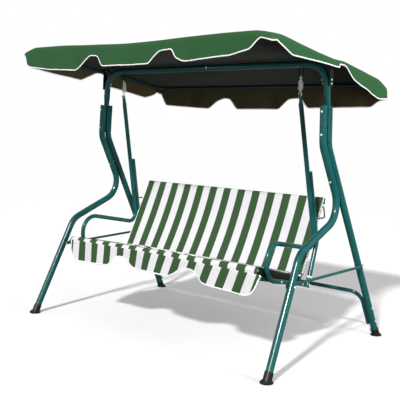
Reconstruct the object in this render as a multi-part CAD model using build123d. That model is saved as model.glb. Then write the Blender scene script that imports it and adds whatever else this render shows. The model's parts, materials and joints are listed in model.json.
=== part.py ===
from build123d import *
import math
import os

# Canopy swing bench: two splayed tube side frames joined by a top bar and a rear
# stretcher, a tilting canopy on the top bar, and a sprung bench hanging below it.
# Millimetres, +X to the viewer's right, +Y to the back, +Z up, floor at Z = 0.
# Right-hand pieces are built first and mirrored across X = 0 for the left side.

# ---- whole object -------------------------------------------------------------
POST_Y = -36.0            # top bar line, placed so that the bounding box is centred
SPLAY = 2.2               # degrees each side frame leans inward at the top
SPLAY_Z = 1500.0          # height at which a side frame is HALF_TOP from the middle
HALF_TOP = 800.0
BAR_Z = 1515.0            # centre of the top bar, also the canopy's tilt axis

# ---- frame tubes --------------------------------------------------------------
LEG_D = 38.0
LEG_WALL = 1.5
BEND_R = 120.0
PAIR_GAP = 27.0           # half the distance between front and rear leg tubes
PAIR_TOP = 1300.0
SLOPE_TOP = 1100.0        # height where both legs bend out of the vertical
FRONT_FOOT = -499.0
REAR_FOOT = 653.0
FRONT_BACK = (178.0, 742.0)      # corner at the back of the front leg's S
FRONT_KNEE = (-229.0, 570.0)     # corner above the front foot
TUBE_START_Z = 8.0
ROUND_END_Z = 1350.0             # the post is round above this and flattened below
FLAT_START_Z = 1308.0
TONGUE_BOTTOM = 1125.0
TONGUE_HALF = (23.0, 6.8)        # flattened bar end, across and along Y
BRACE_D = 15.0
BRACE_TAB = (10.0, 2.2)
BRACE_Z = (420.0, 440.0)
BRACE_X = 23.0
STRETCHER_D = 22.0
STRETCHER_Z = 273.0
STRETCHER_END_Z = 75.0
STRETCHER_R = 70.0
CAP_D = 44.0
CAP_H = 52.0
CAP_BASE_R = 32.0
CAP_BASE_H = 14.0

# ---- bolts --------------------------------------------------------------------
BOLT_D = 6.0
HOLE_D = 6.4
HEAD_R = 5.5
HEAD_H = 4.0

# ---- suspension ---------------------------------------------------------------
HOOK_X = 650.0
LOOP_HALF = 13.0
LOOP_ROD = 6.0
PIVOT_Z = 1450.0          # swing axis: bottom rod of the bar loop
RING_R = 9.0
RING_ROD = 4.5
SPRING_R = 12.0
SPRING_WIRE = 3.4
SPRING_PITCH = 5.4
SPRING_TURNS = 8
SPRING_TOP = 1427.0
FOOT_Z = 1352.0           # bottom rod of the lower hook ring
EYE_Z = 1350.0            # hole in the hanger's flattened top, the seat's pitch axis
EYE_R = 5.0

# ---- seat ---------------------------------------------------------------------
SEAT_D = 25.0
RAIL_D = 22.0
SEAT_WALL = 1.2
HANGER_TOP = 1360.0
HANGER = ((9.5, 1310.0), (187.0, 536.0), (-283.0, 615.0), (-280.0, 423.0), (70.0, 359.0))
HANGER_R = (50.0, 88.0, 80.0)
UPRIGHT_R = 60.0
UPRIGHT_TOP = 950.0
UPRIGHT_ELBOW = (206.0, 573.0)
UPRIGHT_FOOT = (112.0, 335.0)
RAIL_IN = -24.0           # seat rail centre, inboard of the hanger plane
RAIL_FRONT = (-379.0, 447.9)
RAIL_REAR = (132.0, 343.0)
FRONT_TUBE = (-388.0, 460.0)
FRONT_TUBE_HALF = 672.0
REAR_TUBE_Y = 78.0
BACK_D = 20.0
BACK_HALF = 652.0
BACK_FOOT = (86.0, 369.5)
BACK_TOP = (288.0, 800.0)
SLING_T = 4.0
SLING_FRONT = -403.0
SEAT_HALF = 662.0
ROLL_HALF = 680.0
ROLL_MID = 25.0           # the front strip hangs further out on the right
ROLL_Z = 497.0
ROLL_R = 22.0
BACK_SLING_HALF = 664.0
NOTCH_Z = 424.0

# ---- canopy -------------------------------------------------------------------
CANOPY_D = 19.0
CANOPY_WALL = 1.2
CANOPY_X = 845.0
CANOPY_FRONT = (-590.0, 1566.0)
CANOPY_REAR = (543.0, 1450.0)
CANOPY_R = 70.0
PLATE_X = 826.0           # bracket plate beside each bar bend
JOINT_HALF = 45.0         # straight run of the canopy side tubes at the tilt bolt
COVER_X = 866.0
COVER_FRONT = -613.0
COVER_REAR = 565.0
COVER_T = 3.0
EDGE_DROP = 13.0
RIDGE_LIFT = 15.0
RIDGE_REAR = 62.0         # back end of the level stretch over the top bar

os.makedirs("parts", exist_ok=True)


def save(name, *solids):
    """Write one node; several identical fasteners stay separate solids in one file."""
    placed = [Pos(0, POST_Y, 0) * solid for solid in solids]
    shape = placed[0] if len(placed) == 1 else Compound(children=placed)
    shape.label = name
    export_step(shape, "parts/" + name + ".step")


def save_pair(name, right):
    save(name + "_right", right)
    save(name + "_left", mirror(right, about=Plane.YZ))


def lean(shape, top_x=HALF_TOP, top_z=SPLAY_Z):
    """Tilt a piece drawn in the plane X = 0 into the splayed right-hand side plane."""
    return Pos(top_x, 0, top_z) * Rot(0, -SPLAY, 0) * Pos(0, 0, -top_z) * shape


def lean_point(x, y, z):
    angle = math.radians(SPLAY)
    drop = z - SPLAY_Z
    return Vector(
        HALF_TOP + x * math.cos(angle) - drop * math.sin(angle),
        y,
        SPLAY_Z + x * math.sin(angle) + drop * math.cos(angle),
    )


def hang(shape):
    return lean(shape, HOOK_X, HANGER_TOP)


def tube(points, radius, outer, wall):
    if len(points) > 2:
        path = FilletPolyline(*points, radius=radius)
    else:
        path = Line(*points)
    start = Plane(origin=path @ 0, z_dir=path % 0)
    return sweep(start * (Circle(outer / 2) - Circle(outer / 2 - wall)), path)


def rod(points, radius, outer):
    path = FilletPolyline(*points, radius=radius)
    return sweep(Plane(origin=path @ 0, z_dir=path % 0) * Circle(outer / 2), path)


def drill(shape, centre, direction, span=120.0):
    axis = Plane(origin=centre, z_dir=direction)
    return shape - axis * Cylinder(HOLE_D / 2, span)


def bolt(centre, direction, grip):
    """Dome-headed bolt with a hexagon nut, clamping `grip` mm around `centre`."""
    head = Pos(0, 0, -grip / 2 - HEAD_H / 2) * Cylinder(HEAD_R, HEAD_H)
    head = fillet(head.edges().sort_by(Axis.Z)[0], 2.5)
    shank = Cylinder(BOLT_D / 2, grip + 2 * HEAD_H)
    nut = extrude(Pos(0, 0, grip / 2) * RegularPolygon(HEAD_R, 6), HEAD_H)
    return Plane(origin=centre, z_dir=direction) * (head + shank + nut)


def with_mirrored(solids):
    return solids + [mirror(solid, about=Plane.YZ) for solid in solids]


def ring(centre, axis):
    return Plane(origin=centre, z_dir=axis) * Torus(RING_R, RING_ROD / 2)


# ================================ side frames ==================================
slope = (REAR_FOOT - PAIR_GAP) / SLOPE_TOP
slope_dir = Vector(0, slope, -1).normalized()
slope_normal = Vector(0, 1, slope).normalized()
front_bolt_z = (1270.0, 1154.0)
low_bolt = Vector(0, slope * (SLOPE_TOP - 935), 935)


def rear_leg_y(z):
    return PAIR_GAP + slope * (SLOPE_TOP - z)


foot_front_dir = Vector(0, FRONT_KNEE[0] - FRONT_FOOT, FRONT_KNEE[1]).normalized()
front_start = Vector(0, FRONT_FOOT, 0) + foot_front_dir * TUBE_START_Z
front_leg = tube(
    [
        front_start,
        (0, *FRONT_KNEE),
        (0, *FRONT_BACK),
        (0, -PAIR_GAP, SLOPE_TOP),
        (0, -PAIR_GAP, PAIR_TOP),
    ],
    BEND_R,
    LEG_D,
    LEG_WALL,
)
rear_leg = tube(
    [
        Vector(0, REAR_FOOT, 0) - slope_dir * TUBE_START_Z,
        (0, PAIR_GAP, SLOPE_TOP),
        (0, PAIR_GAP, PAIR_TOP),
    ],
    BEND_R,
    LEG_D,
    LEG_WALL,
)

# Top bar half: bar, corner bend, post and the flattened tongue between the legs.
bar = tube(
    [(0.3, 0, BAR_Z), lean_point(0, 0, BAR_Z), lean_point(0, 0, ROUND_END_Z)],
    BEND_R,
    LEG_D,
    LEG_WALL,
)


def flat_end(circle_r, half_x, half_y, round_z, flat_z, end_z):
    """Solid that goes from a round tube to a flattened oval below it."""
    neck = loft(
        [
            Pos(0, 0, round_z) * Circle(circle_r),
            Pos(0, 0, flat_z) * Ellipse(half_x, half_y),
        ]
    )
    blade = extrude(Pos(0, 0, end_z) * Ellipse(half_x, half_y), flat_z - end_z)
    return neck + blade


tongue = flat_end(LEG_D / 2, *TONGUE_HALF, ROUND_END_Z, FLAT_START_Z, TONGUE_BOTTOM)
tongue -= flat_end(
    LEG_D / 2 - LEG_WALL,
    TONGUE_HALF[0] - LEG_WALL,
    TONGUE_HALF[1] - LEG_WALL,
    ROUND_END_Z,
    FLAT_START_Z,
    TONGUE_BOTTOM,
)

leg_bolts = []
for z in front_bolt_z:
    centre = (0, 0, z)
    front_leg = drill(front_leg, centre, (0, 1, 0))
    rear_leg = drill(rear_leg, centre, (0, 1, 0))
    tongue = drill(tongue, centre, (0, 1, 0))
    leg_bolts.append(lean(bolt(centre, (0, 1, 0), 2 * PAIR_GAP + LEG_D + 0.4)))
low_grip = 2 * PAIR_GAP * math.cos(math.atan(slope)) + LEG_D + 0.4
front_leg = drill(front_leg, low_bolt, slope_normal)
rear_leg = drill(rear_leg, low_bolt, slope_normal)
leg_bolts.append(lean(bolt(low_bolt, slope_normal, low_grip)))

# Side brace: inner face of the front leg to the outer face of the rear leg.
front_y = FRONT_FOOT + (FRONT_KNEE[0] - FRONT_FOOT) * BRACE_Z[0] / FRONT_KNEE[1]
brace_a = Vector(-BRACE_X, front_y, BRACE_Z[0])
brace_b = Vector(BRACE_X, rear_leg_y(BRACE_Z[1]), BRACE_Z[1])
brace_length = (brace_b - brace_a).length
brace_plane = Plane(origin=brace_a, x_dir=(0, 0, 1), z_dir=brace_b - brace_a)
half_brace = [
    Pos(0, 0, 55) * Circle(BRACE_D / 2),
    Pos(0, 0, 25) * Ellipse(*BRACE_TAB),
]
brace = extrude(Pos(0, 0, 55) * Circle(BRACE_D / 2), brace_length - 110)
for turn in (Location(), Pos(0, 0, brace_length) * Rot(180, 0, 0)):
    brace += turn * loft(half_brace)
    brace += turn * extrude(Pos(0, 0, -10) * Ellipse(*BRACE_TAB), 35)
side_brace = brace_plane * brace
brace_bolts = []
for tab, inboard in ((brace_a, -3.1), (brace_b, 3.1)):
    middle = Vector(inboard, tab.Y, tab.Z)
    side_brace = drill(side_brace, middle, (1, 0, 0))
    brace_bolts.append(lean(bolt(middle, (-1, 0, 0), 45.2)))
front_leg = drill(front_leg, brace_a, (1, 0, 0))
rear_leg = drill(rear_leg, brace_b, (1, 0, 0))

# Rear stretcher: runs along the inner side of the rear legs, then across.
stretcher_in = -(LEG_D + STRETCHER_D) / 2 - 0.3
stretcher_low = lean_point(stretcher_in, rear_leg_y(STRETCHER_END_Z), STRETCHER_END_Z)
stretcher_high = lean_point(stretcher_in, rear_leg_y(STRETCHER_Z), STRETCHER_Z)
rear_stretcher = tube(
    [
        stretcher_low,
        stretcher_high,
        (-stretcher_high.X, stretcher_high.Y, stretcher_high.Z),
        (-stretcher_low.X, stretcher_low.Y, stretcher_low.Z),
    ],
    STRETCHER_R,
    STRETCHER_D,
    LEG_WALL,
)
stretcher_bolts = []
for z in (95.0, 178.0):
    middle = Vector((LEG_D / 2 + stretcher_in - STRETCHER_D / 2) / 2, rear_leg_y(z), z)
    rear_leg = drill(rear_leg, middle, (1, 0, 0))
    hole = lean(Pos(middle.X, middle.Y, middle.Z) * Rot(0, 90, 0) * Cylinder(HOLE_D / 2, 120))
    rear_stretcher = rear_stretcher - hole - mirror(hole, about=Plane.YZ)
    stretcher_bolts.append(lean(bolt(middle, (-1, 0, 0), LEG_D + STRETCHER_D + 0.6)))


def foot_cap(foot_y, direction):
    """Dark sleeve on the leg end with a flared base that stands flat on the floor."""
    foot = Vector(0, foot_y, 0)
    axis = Plane(origin=foot, z_dir=direction)
    sleeve = axis * Pos(0, 0, CAP_H / 2 - 20) * Cylinder(CAP_D / 2, CAP_H + 40)
    skirt = loft(
        [
            Pos(0, foot_y, 6) * Circle(CAP_BASE_R),
            Pos(0, foot_y, CAP_BASE_H) * Circle(CAP_D / 2 + 2),
        ]
    )
    base = extrude(Pos(0, foot_y, 0) * Circle(CAP_BASE_R), 6)
    bore = axis * Pos(0, 0, CAP_H / 2 + TUBE_START_Z - 0.5)
    bore = bore * Cylinder(LEG_D / 2 + 0.2, CAP_H)
    return lean(sleeve + skirt + base - bore)


floor_cut = Pos(0, 0, -100) * Box(3000, 3000, 200)
cap_front = foot_cap(FRONT_FOOT, foot_front_dir) - floor_cut
cap_rear = foot_cap(REAR_FOOT, -slope_dir) - floor_cut

def post_inner_face(z):
    """Where a nut sits on the inner side of the top bar's post, past the start of its bend."""
    lean_angle = math.radians(SPLAY)
    bend_start = BAR_Z - BEND_R * math.tan(math.radians(90 - SPLAY) / 2) * math.cos(lean_angle)
    turn = lean_angle + math.asin((z - bend_start) / BEND_R)
    centre_x = HALF_TOP + math.tan(lean_angle) * (SPLAY_Z - bend_start)
    centre_x -= BEND_R * (math.cos(lean_angle) - math.cos(turn))
    return centre_x - LEG_D / 2 / math.cos(turn) - HEAD_R * math.tan(turn) - 1.2


# Top bar loops, canopy brackets and their bolts.
loop = rod(
    [
        (HOOK_X - LOOP_HALF, 0, BAR_Z - LEG_D / 2 - 0.2),
        (HOOK_X - LOOP_HALF, 0, PIVOT_Z),
        (HOOK_X + LOOP_HALF, 0, PIVOT_Z),
        (HOOK_X + LOOP_HALF, 0, BAR_Z - LEG_D / 2 - 0.2),
    ],
    8.0,
    LOOP_ROD,
)
lower_plate = fillet((Pos(0, 1440) * Rectangle(36, 80)).vertices(), 6.0)
eye_plate = Pos(0, BAR_Z) * Circle(12)
bracket_outline = make_hull(lower_plate.edges() + eye_plate.edges())
bracket = Plane.YZ.offset(PLATE_X - 2) * extrude(bracket_outline, 4)
bracket_bolts = []
for z in (1412.0, 1432.0):
    inner = post_inner_face(z)
    outer = PLATE_X + 2.1
    middle = ((inner + outer) / 2, 0, z)
    bar = drill(bar, middle, (1, 0, 0))
    bracket = drill(bracket, middle, (1, 0, 0))
    bracket_bolts.append(bolt(middle, (-1, 0, 0), outer - inner))
bracket = drill(bracket, (PLATE_X, 0, BAR_Z), (1, 0, 0))

mid_bolt = bolt((30, 0, BAR_Z), (0, 1, 0), LEG_D + 0.4)
spigot_d = LEG_D - 2 * LEG_WALL - 0.4
bar_right = drill(bar + lean(tongue), (30, 0, BAR_Z), (0, 1, 0))
spigot = Pos(20, 0, BAR_Z) * Rot(0, 90, 0) * (
    Cylinder(spigot_d / 2, 80) - Cylinder(spigot_d / 2 - LEG_WALL, 80)
)
collar = Pos(-2.3, 0, BAR_Z) * Rot(0, 90, 0) * (
    Cylinder(LEG_D / 2, 4) - Cylinder(spigot_d / 2 - LEG_WALL, 4)
)
bar_left = drill(
    mirror(bar + lean(tongue), about=Plane.YZ) + spigot + collar, (30, 0, BAR_Z), (0, 1, 0)
)

save_pair("front_leg", lean(front_leg))
save_pair("rear_leg", lean(rear_leg))
save("top_bar_right", bar_right)
save("top_bar_left", bar_left)
save("top_bar_bolt", mid_bolt)
save("leg_bolts", *with_mirrored(leg_bolts))
save_pair("side_brace", lean(side_brace))
save("brace_bolts", *with_mirrored(brace_bolts))
save("rear_stretcher", rear_stretcher)
save("stretcher_bolts", *with_mirrored(stretcher_bolts))
save_pair("foot_cap_front", cap_front)
save_pair("foot_cap_rear", cap_rear)
save_pair("bar_loop", loop)
save_pair("canopy_bracket", bracket)
save("bracket_bolts", *with_mirrored(bracket_bolts))

# ================================= suspension ==================================
ring_top_z = PIVOT_Z + LOOP_ROD / 2 + RING_ROD / 2 + 0.25 - RING_R
ring_low_z = FOOT_Z + RING_R
spring_low = SPRING_TOP - SPRING_TURNS * SPRING_PITCH


def hook(ring_z, axis, coil_z, sign):
    """Ring, shank and the cross rod that carries one end of the coil."""
    near = ring_z - sign * RING_R
    far = coil_z + sign * (SPRING_WIRE / 2 + RING_ROD / 2 + 0.2)
    shank = Pos(HOOK_X, 0, (near + far) / 2) * Cylinder(RING_ROD / 2 - 0.2, abs(near - far))
    cross = Pos(HOOK_X, 0, far) * Rot(90, 0, 0) * Cylinder(RING_ROD / 2, 2 * SPRING_R)
    return ring((HOOK_X, 0, ring_z), axis) + shank + cross


save_pair("top_hook", hook(ring_top_z, (1, 0, 0), SPRING_TOP, 1))
save_pair("bottom_hook", hook(ring_low_z, (0, 1, 0), spring_low, -1))

coil_path = Pos(HOOK_X, 0, spring_low) * Helix(
    SPRING_PITCH, SPRING_TURNS * SPRING_PITCH, SPRING_R
)
coil = sweep(
    Plane(origin=coil_path @ 0, z_dir=coil_path % 0) * Circle(SPRING_WIRE / 2),
    coil_path,
    is_frenet=True,
)
save_pair("spring", coil)

# ==================================== seat =====================================
hanger_dir = Vector(0, HANGER[1][0] - HANGER[0][0], HANGER[1][1] - HANGER[0][1]).normalized()
hanger_up = -hanger_dir
hanger_normal = Vector(0, hanger_up.Z, -hanger_up.Y)
hanger = tube([(0, y, z) for y, z in HANGER], HANGER_R, SEAT_D, SEAT_WALL)
neck_plane = Plane(origin=(0, HANGER[0][0], HANGER[0][1]), x_dir=(1, 0, 0), z_dir=hanger_up)
neck = neck_plane * loft(
    [Circle(SEAT_D / 2), Pos(0, 0, 26) * Ellipse(2.6, SEAT_D / 2 + 1)]
)
tip = neck_plane * extrude(Pos(0, 0, 26) * Ellipse(2.6, SEAT_D / 2 + 1), 30)
tip &= Pos(0, 0, EYE_Z - 20) * Box(40, 40, 62)
eye = Pos(HOOK_X, 0, EYE_Z) * Rot(0, 90, 0) * Cylinder(EYE_R, 40)
hanger_arm = hanger + neck + tip

spacing = SEAT_D + 0.4
upright_start = Vector(0, *HANGER[0]) + hanger_dir * (
    (HANGER[0][1] - UPRIGHT_TOP) / -hanger_dir.Z
)
upright_path = [
    upright_start + hanger_normal * spacing,
    (0, *UPRIGHT_ELBOW),
    (0, *UPRIGHT_FOOT),
]
upright = tube(upright_path, UPRIGHT_R, SEAT_D, SEAT_WALL)
end_cap = Pos(0, 0, 1) * Cylinder(SEAT_D / 2 + 0.3, 3)
end_cap = fillet(end_cap.edges().sort_by(Axis.Z)[-1], 1.2)
upright += Plane(origin=upright_path[0], z_dir=hanger_up) * end_cap

rail = tube(
    [(RAIL_IN, *RAIL_FRONT), (RAIL_IN, *RAIL_REAR)], 0, RAIL_D, SEAT_WALL
)
rail_slope = (RAIL_REAR[1] - RAIL_FRONT[1]) / (RAIL_REAR[0] - RAIL_FRONT[0])


def rail_z(y):
    return RAIL_FRONT[1] + rail_slope * (y - RAIL_FRONT[0])


arm_bolts = []
for y, z in ((-162.0, 401.4), (45.0, 363.6)):
    middle = Vector((SEAT_D / 2 + RAIL_IN - RAIL_D / 2) / 2, y, z)
    hanger_arm = drill(hanger_arm, middle, (1, 0, 0))
    rail = drill(rail, middle, (1, 0, 0))
    arm_bolts.append(hang(bolt(middle, (-1, 0, 0), 47.8)))
middle = Vector((SEAT_D / 2 + RAIL_IN - RAIL_D / 2) / 2, 116.5, rail_z(116.5))
upright = drill(upright, middle, (1, 0, 0))
rail = drill(rail, middle, (1, 0, 0))
upright_bolt = hang(bolt(middle, (-1, 0, 0), 47.8))

foot_dir = Vector(
    0, UPRIGHT_ELBOW[0] - UPRIGHT_FOOT[0], UPRIGHT_ELBOW[1] - UPRIGHT_FOOT[1]
).normalized()
white_ring = Plane(origin=Vector(0, *UPRIGHT_FOOT) + foot_dir * 56, z_dir=foot_dir) * (
    Cylinder(SEAT_D / 2 + 3.5, 9) - Cylinder(SEAT_D / 2 + 0.2, 9)
)

rail_inner = HOOK_X + math.tan(math.radians(SPLAY)) * (HANGER_TOP - 360) + RAIL_IN - RAIL_D / 2
front_tube = Pos(0, *FRONT_TUBE) * Rot(0, 90, 0) * (
    Cylinder(RAIL_D / 2, 2 * FRONT_TUBE_HALF)
    - Cylinder(RAIL_D / 2 - SEAT_WALL, 2 * FRONT_TUBE_HALF - 4)
)
rear_tube = Pos(0, REAR_TUBE_Y, rail_z(REAR_TUBE_Y)) * Rot(0, 90, 0) * (
    Cylinder(RAIL_D / 2, 2 * rail_inner - 3) - Cylinder(RAIL_D / 2 - SEAT_WALL, 2 * rail_inner - 3)
)
back_frame = tube(
    [
        (BACK_HALF, *BACK_FOOT),
        (BACK_HALF, *BACK_TOP),
        (-BACK_HALF, *BACK_TOP),
        (-BACK_HALF, *BACK_FOOT),
    ],
    40.0,
    BACK_D,
    SEAT_WALL,
)

back_dir = Vector(0, BACK_TOP[0] - BACK_FOOT[0], BACK_TOP[1] - BACK_FOOT[1]).normalized()
back_rear = Vector(0, back_dir.Z, -back_dir.Y)

# Curved stay from the upright round to the back of the backrest tube.
stay_z = 700.0
stay_x = HOOK_X + math.tan(math.radians(SPLAY)) * (HANGER_TOP - stay_z)
upright_y = upright_path[0].Y + (upright_path[0].Z - stay_z) * hanger_dir.Y / -hanger_dir.Z
stay_top = Vector(BACK_HALF, *BACK_TOP) - back_dir * 31
back_stay = rod(
    [
        (stay_x, upright_y + SEAT_D / 2 + 3.0, stay_z),
        (stay_x - 5, 296, stay_z),
        stay_top + back_rear * 45,
        stay_top + back_rear * (BACK_D / 2 + 0.3),
    ],
    18.0,
    8.0,
)

save_pair("hanger_arm", hang(hanger_arm) - eye)
save_pair("back_upright", hang(upright))
save_pair("seat_rail", hang(rail))
save("seat_front_tube", front_tube)
save("seat_rear_tube", rear_tube)
save("back_frame", back_frame)
save_pair("back_stay", back_stay)
save("arm_bolts", *with_mirrored(arm_bolts))
save("upright_bolts", *with_mirrored([upright_bolt]))
save("upright_rings", *with_mirrored([hang(white_ring)]))


def sheet(points, radius, half_width, thickness):
    path = FilletPolyline(*points, radius=radius)
    start = Plane(origin=path @ 0, x_dir=(1, 0, 0), z_dir=path % 0)
    return sweep(start * Rectangle(2 * half_width, thickness), path)


def both_sides(right):
    """Outline points from the middle to the right, repeated for the left."""
    return [(-x, z) for x, z in reversed(right)] + right


def hanging_edge(bottom, top, radius):
    """Flat cloth outline: rounded scalloped bottom, straight top."""
    lower = FilletPolyline(*bottom, radius=radius)
    upper = Polyline(bottom[-1], *top, bottom[0])
    return make_face(Wire([*lower.edges(), *upper.edges()]))


# Seat sling: top sheet, wider roll over the front tube, scalloped valance.
seat_rear = Vector(0, 64, 400.5)
roll_corner = Vector(0, SLING_FRONT, ROLL_Z)
roll_start = roll_corner + (seat_rear - roll_corner).normalized() * 37
roll_end = Vector(0, SLING_FRONT, 440)
seat_sling = sheet([seat_rear, roll_corner, roll_end], ROLL_R, SEAT_HALF, SLING_T)
seat_sling += Pos(ROLL_MID, 0, 0) * sheet(
    [roll_start, roll_corner, roll_end], ROLL_R, ROLL_HALF, SLING_T
)
roll_left = ROLL_MID - ROLL_HALF
roll_right = ROLL_MID + ROLL_HALF
scallops = [(135, 362), (200, NOTCH_Z), (288, NOTCH_Z), (345, 360)]
seat_bottom = [(roll_left, 385), (roll_left + 34, 352)]
seat_bottom += both_sides(scallops) + [(roll_right - 36, 352), (roll_right, 390)]
seat_valance = hanging_edge(seat_bottom, [(roll_right, 445), (roll_left, 445)], 14)
cloth_plane = Plane(origin=(0, SLING_FRONT + SLING_T / 2, 0), x_dir=(1, 0, 0), z_dir=(0, -1, 0))
seat_sling += cloth_plane * extrude(seat_valance, SLING_T)

# Back sling: front sheet, rolled over the top tube, short hem behind.
off = BACK_D / 2 + SLING_T / 2 + 1.5
low = Vector(0, *BACK_FOOT) - back_rear * off + back_dir * 32
top = Vector(0, *BACK_TOP) + back_dir * off
back_sling = sheet(
    [low, top - back_rear * off, top + back_rear * off, top + back_rear * off - back_dir * 40],
    11,
    BACK_SLING_HALF,
    SLING_T,
)
save("seat_sling", seat_sling)
save("back_sling", back_sling)

# =================================== canopy ====================================
front_hoop = tube(
    [
        (CANOPY_X, JOINT_HALF, BAR_Z),
        (CANOPY_X, -JOINT_HALF, BAR_Z),
        (CANOPY_X, *CANOPY_FRONT),
        (-CANOPY_X, *CANOPY_FRONT),
        (-CANOPY_X, -JOINT_HALF, BAR_Z),
        (-CANOPY_X, JOINT_HALF, BAR_Z),
    ],
    (200.0, CANOPY_R, CANOPY_R, 200.0),
    CANOPY_D,
    CANOPY_WALL,
)
rear_hoop = tube(
    [
        (CANOPY_X, JOINT_HALF + 0.4, BAR_Z),
        (CANOPY_X, RIDGE_REAR, BAR_Z),
        (CANOPY_X, *CANOPY_REAR),
        (-CANOPY_X, *CANOPY_REAR),
        (-CANOPY_X, RIDGE_REAR, BAR_Z),
        (-CANOPY_X, JOINT_HALF + 0.4, BAR_Z),
    ],
    (150.0, CANOPY_R, CANOPY_R, 150.0),
    CANOPY_D,
    CANOPY_WALL,
)
canopy_spigot_r = CANOPY_D / 2 - CANOPY_WALL - 0.2
pivot_bolts = []
for side in (1, -1):
    x = side * CANOPY_X
    sleeve = Cylinder(canopy_spigot_r, 94) - Cylinder(canopy_spigot_r - CANOPY_WALL, 94)
    shoulder = Cylinder(CANOPY_D / 2, 4) - Cylinder(canopy_spigot_r - CANOPY_WALL, 4)
    rear_hoop += Pos(x, 16, BAR_Z) * Rot(90, 0, 0) * sleeve
    rear_hoop += Pos(x, JOINT_HALF + 2.4, BAR_Z) * Rot(90, 0, 0) * shoulder
    front_hoop = drill(front_hoop, (x, 0, BAR_Z), (1, 0, 0))
    rear_hoop = drill(rear_hoop, (x, 0, BAR_Z), (1, 0, 0))
inner = PLATE_X - 2.2
outer = CANOPY_X + CANOPY_D / 2 + 0.2
pivot_bolt = bolt(((inner + outer) / 2, 0, BAR_Z), (-1, 0, 0), outer - inner)

save("canopy_front_hoop", front_hoop)
save("canopy_rear_hoop", rear_hoop)
save("canopy_pivot_bolts", *with_mirrored([pivot_bolt]))


def roof_section(x, side_drop, ridge_lift):
    """Closed strip of the roof seen from the side at one distance from the middle."""
    above = CANOPY_D / 2 + 1.5 + COVER_T
    heights = [
        (COVER_FRONT, CANOPY_FRONT[1] + above - EDGE_DROP),
        (COVER_FRONT + 12, CANOPY_FRONT[1] + above),
        (-JOINT_HALF, BAR_Z + above + ridge_lift),
        (RIDGE_REAR, BAR_Z + above + ridge_lift),
        (COVER_REAR - 12, CANOPY_REAR[1] + above),
        (COVER_REAR, CANOPY_REAR[1] + above - EDGE_DROP),
    ]
    upper = [(y, z - side_drop) for y, z in heights]
    lower = [(y, z - COVER_T) for y, z in reversed(upper)]
    return Plane.YZ.offset(x) * make_face(Polyline(*upper, *lower, close=True))


sections = [(COVER_X, EDGE_DROP, 0), (COVER_X - 11, 0, 0), (COVER_X - 96, 0, RIDGE_LIFT)]
sections += [(-x, drop, lift) for x, drop, lift in reversed(sections)]
cover = loft([roof_section(*section) for section in sections], ruled=True)

front_top = CANOPY_FRONT[1] + CANOPY_D / 2 + 4.5 - EDGE_DROP - 1
rear_top = CANOPY_REAR[1] + CANOPY_D / 2 + 4.5 - EDGE_DROP - 1
ridge_top = BAR_Z + CANOPY_D / 2 + 4.5 - EDGE_DROP
front_bottom = both_sides(
    [(165, 1462), (213, 1524), (327, 1524), (373, 1462), (740, 1470), (852, 1552)]
)
rear_bottom = both_sides(
    [(160, 1316), (222, 1382), (312, 1382), (365, 1316), (770, 1322), (850, 1428)]
)
for y, bottom, z in (
    (COVER_FRONT + COVER_T, front_bottom, front_top),
    (COVER_REAR, rear_bottom, rear_top),
):
    corner = COVER_X - 11
    skirt_top = [(COVER_X, z - EDGE_DROP), (corner, z), (-corner, z), (-COVER_X, z - EDGE_DROP)]
    skirt = hanging_edge(bottom, skirt_top, 22)
    plane = Plane(origin=(0, y, 0), x_dir=(1, 0, 0), z_dir=(0, -1, 0))
    cover += plane * extrude(skirt, COVER_T)

side_bottom = [
    (COVER_FRONT + 8, front_top - 20),
    (-500, 1487),
    (-125, 1472),
    (-55, 1507),
    (45, 1507),
    (98, 1440),
    (455, 1372),
    (COVER_REAR - 8, rear_top - 20),
]
side_top = [
    (COVER_REAR, rear_top - EDGE_DROP - 0.2),
    (COVER_REAR - 12, rear_top - 0.2),
    (RIDGE_REAR, ridge_top - 0.2),
    (-JOINT_HALF, ridge_top - 0.2),
    (COVER_FRONT + 12, front_top - 0.2),
    (COVER_FRONT, front_top - EDGE_DROP - 0.2),
]
side_cloth = hanging_edge(side_bottom, side_top, 22)
side_skirt = Plane.YZ.offset(COVER_X - COVER_T) * extrude(side_cloth, COVER_T)
cover = cover + side_skirt + mirror(side_skirt, about=Plane.YZ)
save("canopy_cover", cover)
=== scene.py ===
import json
import math
import bpy
import numpy as np
from mathutils import Matrix, Vector, noise


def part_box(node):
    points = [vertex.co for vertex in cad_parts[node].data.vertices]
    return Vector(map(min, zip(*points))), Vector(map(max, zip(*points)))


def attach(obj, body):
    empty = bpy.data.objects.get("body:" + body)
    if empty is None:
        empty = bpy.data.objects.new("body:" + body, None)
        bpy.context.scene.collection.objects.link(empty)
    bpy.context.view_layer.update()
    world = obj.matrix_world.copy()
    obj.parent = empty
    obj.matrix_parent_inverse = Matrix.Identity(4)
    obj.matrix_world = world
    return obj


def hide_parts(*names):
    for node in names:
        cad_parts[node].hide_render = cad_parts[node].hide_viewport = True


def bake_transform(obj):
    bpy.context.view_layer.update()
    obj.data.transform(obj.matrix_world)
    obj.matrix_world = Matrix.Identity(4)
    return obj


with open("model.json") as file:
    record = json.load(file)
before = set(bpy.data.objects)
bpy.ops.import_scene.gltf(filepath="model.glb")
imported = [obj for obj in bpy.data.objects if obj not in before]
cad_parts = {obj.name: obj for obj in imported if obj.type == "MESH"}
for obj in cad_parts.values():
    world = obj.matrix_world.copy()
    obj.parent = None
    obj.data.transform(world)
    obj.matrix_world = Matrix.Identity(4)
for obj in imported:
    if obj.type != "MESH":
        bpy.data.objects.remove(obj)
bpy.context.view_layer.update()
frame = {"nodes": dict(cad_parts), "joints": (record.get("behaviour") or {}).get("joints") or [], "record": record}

# Canopy swing bench. Metres, in the CAD's frame: +X right, +Y back, +Z up, floor at Z = 0.
# The steel frame, hooks, bolts and caps are the CAD's own meshes with procedural finishes.
# The canopy, the two slings and the springs are modelled here over their CAD solids.

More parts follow.
